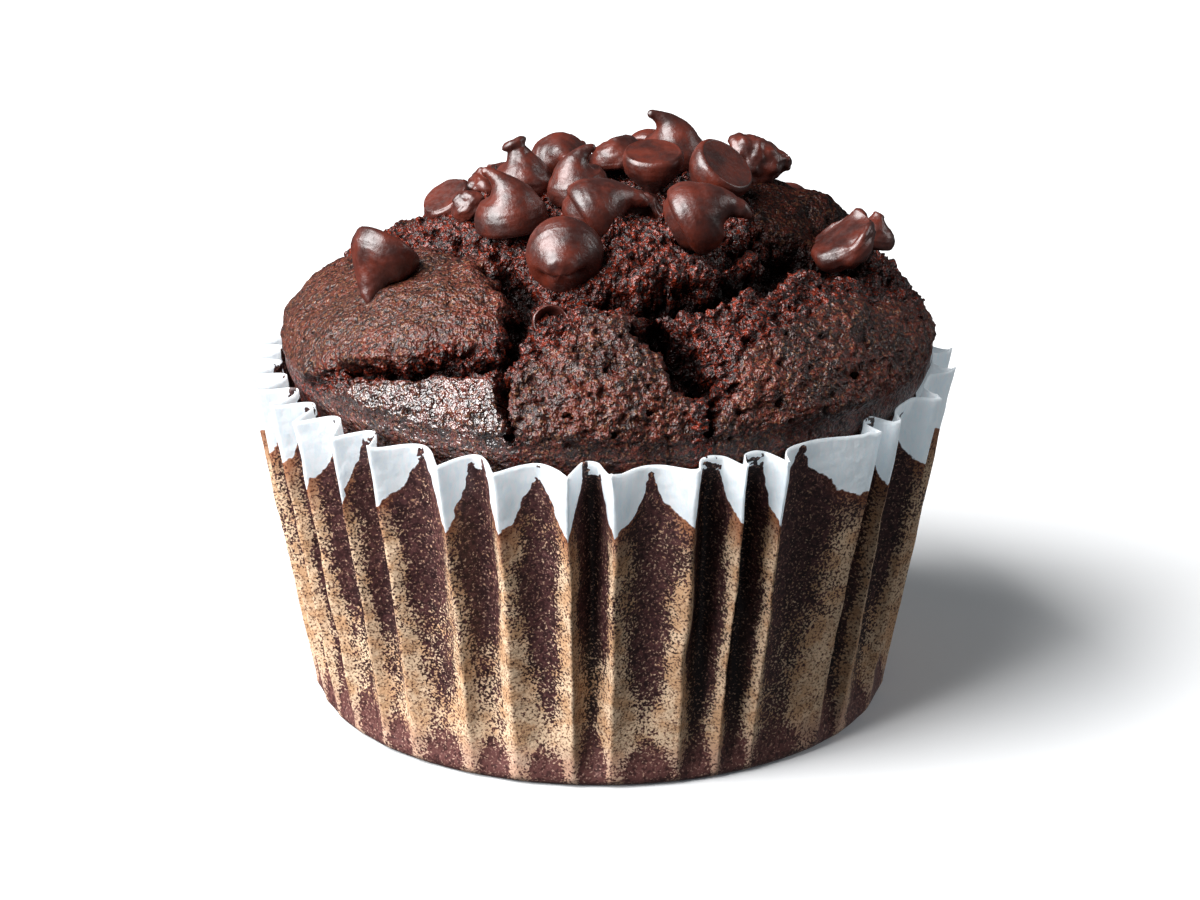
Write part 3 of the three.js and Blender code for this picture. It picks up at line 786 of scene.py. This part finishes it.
class MUFFIN_OT_crumb(bpy.types.Operator):
    """Bake the crumb: a risen top with plates of crust, cracks and torn crumb"""

    bl_idname = "muffin.crumb"
    bl_label = "Muffin"
    columns = 620
    dome_rows = 262
    crowding = 0.42             # how far the columns crowd towards the front
    crown_hole = 0.12           # the last row's distance from the crown
    shift = 0.7                 # the top rose off centre, towards +X,
    lean = 1.5                  # and higher on that side
    roundness = 1.85            # 2 is an ellipse, less is more pointed
    inside_levels = (0.6, 1.6, 6.0, 12.0, 18.0, 24.0, 27.0, 28.4)
    clearance = 0.75            # from the inward creases to the crumb inside them
    bottom_inset = 1.0          # the lowest row, round the bottom edge
    # Rows of the neck under the top: height, and how far in from the widest ring.
    neck_levels = ((29.4, 0.85), (30.2, 0.4), (30.9, 0.12))
    chip_bed = 3.0              # how far round a chip the crumb is spared from cracks

    def smooth_top(self, s):
        """The top before it tears: its points, and their places on the map."""
        radius, level, rise = s.shoulder_radius / MM, s.shoulder_height / MM, s.dome_rise / MM
        even = np.linspace(-np.pi, np.pi, self.columns, endpoint=False)
        bearing = even - self.crowding * np.sin(even)
        over = np.linspace(radius * np.pi / 2, self.crown_hole, self.dome_rows)[:, None]
        plan = radius * np.sin(over / radius)
        x, y = self.shift + plan * np.sin(bearing), -plan * np.cos(bearing)
        out = np.clip(plan / radius, 0, 1)
        dome = level + rise * (1 - out**self.roundness) ** (1 / self.roundness)
        z = dome + self.lean * (x - self.shift) / radius * (1 - out**4)
        grid = np.stack([x, y, z], axis=-1)
        return grid, over * np.sin(bearing), -over * np.cos(bearing)

    def under(self, s, paper, bearing):
        """The part inside the case, drawn in from its pleats, and the neck above it."""
        base, rim = paper.base_radius / MM, paper.rim_radius / MM
        height, deep = paper.height / MM, paper.pleat_depth / MM
        rings = []
        for z in self.inside_levels:
            share = z / height
            radius = base + (rim - base) * share - deep * share**0.7 - self.clearance
            if z == self.inside_levels[0]:
                radius -= self.bottom_inset
            rings.append((0.0, radius, z))
        for z, drawn_in in self.neck_levels:
            rings.append((self.shift, s.shoulder_radius / MM - drawn_in, z))
        return np.array([
            np.stack([
                x + radius * np.sin(bearing), -radius * np.cos(bearing), np.full(bearing.shape, z),
            ], axis=-1)
            for x, radius, z in rings
        ])

    def stray(self, grid, seed):
        """How far plates and cracks stray from their outlines on the map."""
        return 1.1 * grain(grid, 3.0, 3, seed) + 0.3 * grain(grid, 0.9, 2, seed + 1)

    def execute(self, context):
        s, paper = context.scene.muffin_crumb, context.scene.muffin_paper
        rough = s.tear / MM
        grid, map_x, map_y = self.smooth_top(s)
        level = s.shoulder_height / MM
        free = smooth(grid[..., 2], level - 0.1, level + 1.6)
        bare = 0.35 + 0.65 * free
        plan_x, plan_y = grid[..., 0], grid[..., 1]
        on_x, on_y = map_x + self.stray(grid, 1), map_y + self.stray(grid, 3)

        swell = np.zeros(grid.shape[:2])
        for x, y, reach, height in LOBES:
            away = np.hypot(plan_x - x, plan_y - y)
            swell += height * (1 - smooth(away, reach / 3, reach))
        crust, lift, bumpy, cut, carried = (np.zeros_like(swell) for _ in range(5))
        inside_plate = {
            name: depth_inside(on_x, on_y, outline) for name, (_, _, outline) in CRUST_PLATES.items()
        }
        for name, (height, bumps, _) in CRUST_PLATES.items():
            inside = inside_plate[name]
            crust = np.maximum(crust, smooth(inside, -0.35, 0.45))
            lift = np.maximum(lift, height * smooth(inside, -0.5, 1.1))
            bumpy = np.maximum(bumpy, bumps * smooth(inside, -0.5, 0.8))
        matte = smooth(inside_plate["left"], 0.5, 5.0)
        wet = smooth(inside_plate["lower left"], -1.0, 1.5)
        # Painted shadow: the block is painted nearly black through deep.
        dark = smooth(inside_plate["block"], -2.5, 0.5)
        for height, outline in TORN_CHUNKS:
            inside = depth_inside(on_x, on_y, outline)
            lift = np.maximum(lift, height * smooth(inside, -0.6, 1.4))
        for width, depth, path in CRACKS:
            away = path_distance(on_x, on_y, path)
            cut = np.maximum(cut, depth * (1 - smooth(away, 0.25 * width, width)))
        for x, y, width, depth in BURST_BUBBLES:
            away = np.hypot(on_x - x, on_y - y)
            cut = np.maximum(cut, depth * (1 - smooth(away, 0.2 * width, width)))

        # Cracks and tears stay shallow under the chips, so that each has crumb to sit on.
        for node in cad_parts:
            if node.startswith("chip_") and node != HOLLOW_CHIP:
                low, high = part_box(node)
                x, y = (low.x + high.x) / 2 / MM, (low.y + high.y) / 2 / MM
                away = np.hypot(plan_x - x, plan_y - y)
                carried = np.maximum(carried, np.exp(-((away / self.chip_bed) ** 2)))
        cut *= 1 - 0.75 * carried
        torn = np.maximum(1 - crust, smooth(cut, 0.25, 0.9))
        hollows = (0.25 + 0.55 * torn) * grain(grid, 2.6, 2, 9)
        shape = (swell + lift - cut + 0.3 * grain(grid, 5.0, 3, 6) + hollows) * free
        grid = grid + normals_of(grid) * shape[..., None]

        # Torn crumb in clumps and pores, and bumps in the crust, along the
        # normals of the cracked shape.
        clumps = 1.0 - 1.4 * lumps(grid, 1.9, 1) + 0.7 * (0.6 - lumps(grid, 0.8, 2))
        pores = smooth(grain(grid, 1.0, 2, 5), 0.2, 0.5)
        relief = torn * rough * (clumps - 0.9 * pores - 0.3) * (1 - 0.4 * carried)
        knobs = 0.55 - lumps(grid, 1.3, 4) + 0.5 * (0.5 - lumps(grid, 0.6, 5)) - 0.5 * pores
        relief += crust * (0.06 + 0.42 * bumpy) * knobs
        grid = grid + normals_of(grid) * (relief * bare - 0.12 * (1 - free))[..., None]

        # Fine grain and pinholes, and the painted shade at each point: darker in cracks, pores,
        # pinholes, between the crust's knobs and over the block.
        pits = 1 - smooth(lumps(grid, 2.4, 3), 0.08, 0.17)
        fine = torn * 0.26 * grain(grid, 0.45, 3, 7) - crust * 0.35 * pits
        fine += crust * (0.06 + 0.14 * bumpy) * grain(grid, 0.5, 3, 8)
        grid = grid + normals_of(grid) * (fine * bare)[..., None]
        # Painted shade in the hollows, and a painted shadow over the block.
        deep = smooth(cut, 0.5, 2.2) + torn * 0.7 * smooth(0.35 * pores - clumps, -0.35, 0.7)
        deep += 0.75 * dark + 0.6 * pits * crust + 0.45 * crust * bumpy * smooth(-knobs, 0.0, 0.6)

        # The part inside the case carries on from the lowest row of the top.
        hidden = self.under(s, paper, np.arctan2(plan_x[0] - self.shift, -plan_y[0]))
        whole = np.concatenate([hidden, grid])
        fields = {"torn": torn, "deep": np.clip(deep, 0, 1), "matte": matte, "wet": wet}
        fields = {
            key: np.concatenate([np.repeat(values[:1], len(hidden), axis=0), values])
            for key, values in fields.items()
        }
        bottom = (0, 0, self.inside_levels[0])
        crumb = tube("Muffin", whole, bottom, grid[-1].mean(0), crumb_finish(s), fields)
        settle(crumb, "crumb", "muffin")
        return {"FINISHED"}


# ----------------------------------------------------------------- the stage


FLOOR_HALF = 3.0                        # metres from the middle to each side
FLOOR_DROP = 0.00005                    # keeps the floor just clear of the case's base
SKY_COLOUR = (0.93, 0.97, 1.0, 1)
KEY_SIZE, EDGE_SIZE = 2.0, 0.7          # metres across
AIM = Vector((0, 0, 0.02))              # where the lights point
SENSOR_WIDTH = 36                       # millimetres, as is the lens
CAMERA_LENS = 124.93
CAMERA_PLACE = (0, -0.35, 0.14707)
CAMERA_DIP = 19.736                     # degrees below level


class MUFFIN_OT_stage(bpy.types.Operator):
    """Lay the white floor and set the soft key light, the sky and the camera"""

    bl_idname = "muffin.stage"
    bl_label = "Studio"

    def execute(self, context):
        scene = context.scene
        s = scene.muffin_stage
        mesh = bpy.data.meshes.new("Floor")
        ends = (-FLOOR_HALF, FLOOR_HALF)
        corners = [(x, y, -FLOOR_DROP) for x in ends for y in ends]
        mesh.from_pydata(corners, [], [(0, 2, 3, 1)])
        mesh.materials.append(floor_finish(s))
        floor = bpy.data.objects.new("Floor", mesh)
        floor.visible_diffuse = False
        floor.visible_glossy = False
        scene.collection.objects.link(floor)

        key_place = self.around(azimuth=-66, elevation=40, distance=2.0)
        self.light("Key Light", s.key_power, KEY_SIZE, key_place)
        edge_place = self.around(azimuth=98, elevation=22, distance=1.6)
        self.light("Edge Light", s.edge_power, EDGE_SIZE, edge_place)

        world = bpy.data.worlds.new("Studio")
        world.use_nodes = True
        background = world.node_tree.nodes["Background"]
        background.inputs["Color"].default_value = SKY_COLOUR
        background.inputs["Strength"].default_value = s.sky
        scene.world = world
        scene.view_settings.view_transform = "Standard"

        camera = bpy.data.objects.new("Camera", bpy.data.cameras.new("Camera"))
        camera.data.lens = CAMERA_LENS
        camera.data.sensor_width = SENSOR_WIDTH
        camera.location = CAMERA_PLACE
        camera.rotation_euler = (math.radians(90 - CAMERA_DIP), 0, 0)
        scene.collection.objects.link(camera)
        scene.camera = camera
        return {"FINISHED"}

    def light(self, name, power, size, place):
        """A square soft light aimed at the muffin."""
        light = bpy.data.objects.new(name, bpy.data.lights.new(name, "AREA"))
        light.data.energy = power
        light.data.size = size
        light.location = place
        light.rotation_euler = (AIM - place).to_track_quat("-Z", "Y").to_euler()
        bpy.context.scene.collection.objects.link(light)

    def around(self, azimuth, elevation, distance):
        """A place at a bearing from the front towards +X, an elevation and a distance."""
        a, e = math.radians(azimuth), math.radians(elevation)
        return Vector((math.sin(a) * math.cos(e), -math.cos(a) * math.cos(e), math.sin(e))) * distance


# ----------------------------------------------------------------- the panel


class MUFFIN_PT_panel(bpy.types.Panel):
    """Makes the muffin piece by piece"""

    bl_idname = "MUFFIN_PT_panel"
    bl_label = "Chocolate Chip Muffin"
    bl_space_type = "VIEW_3D"
    bl_region_type = "UI"
    bl_category = "Muffin"

    def draw(self, context):
        for operator, group in PIECES:
            settings = getattr(context.scene, group)
            box = self.layout.box()
            box.operator(operator.bl_idname)
            for key in settings.__annotations__:
                box.prop(settings, key)


PIECES = [
    (MUFFIN_OT_paper_case, "muffin_paper"),
    (MUFFIN_OT_crumb, "muffin_crumb"),
    (MUFFIN_OT_chips, "muffin_chips"),
    (MUFFIN_OT_stage, "muffin_stage"),
]
GROUPS = {
    "muffin_paper": PaperSettings,
    "muffin_crumb": CrumbSettings,
    "muffin_chips": ChipSettings,
    "muffin_stage": StageSettings,
}


def register():
    for name, group in GROUPS.items():
        bpy.utils.register_class(group)
        setattr(bpy.types.Scene, name, bpy.props.PointerProperty(type=group))
    for operator, _ in PIECES:
        bpy.utils.register_class(operator)
    bpy.utils.register_class(MUFFIN_PT_panel)


def unregister():
    bpy.utils.unregister_class(MUFFIN_PT_panel)
    for operator, _ in reversed(PIECES):
        bpy.utils.unregister_class(operator)
    for name, group in reversed(GROUPS.items()):
        delattr(bpy.types.Scene, name)
        bpy.utils.unregister_class(group)


def main():
    register()
    bpy.ops.muffin.paper_case()
    bpy.ops.muffin.crumb()
    bpy.ops.muffin.chips()
    bpy.ops.muffin.stage()


if __name__ == "__main__":
    main()
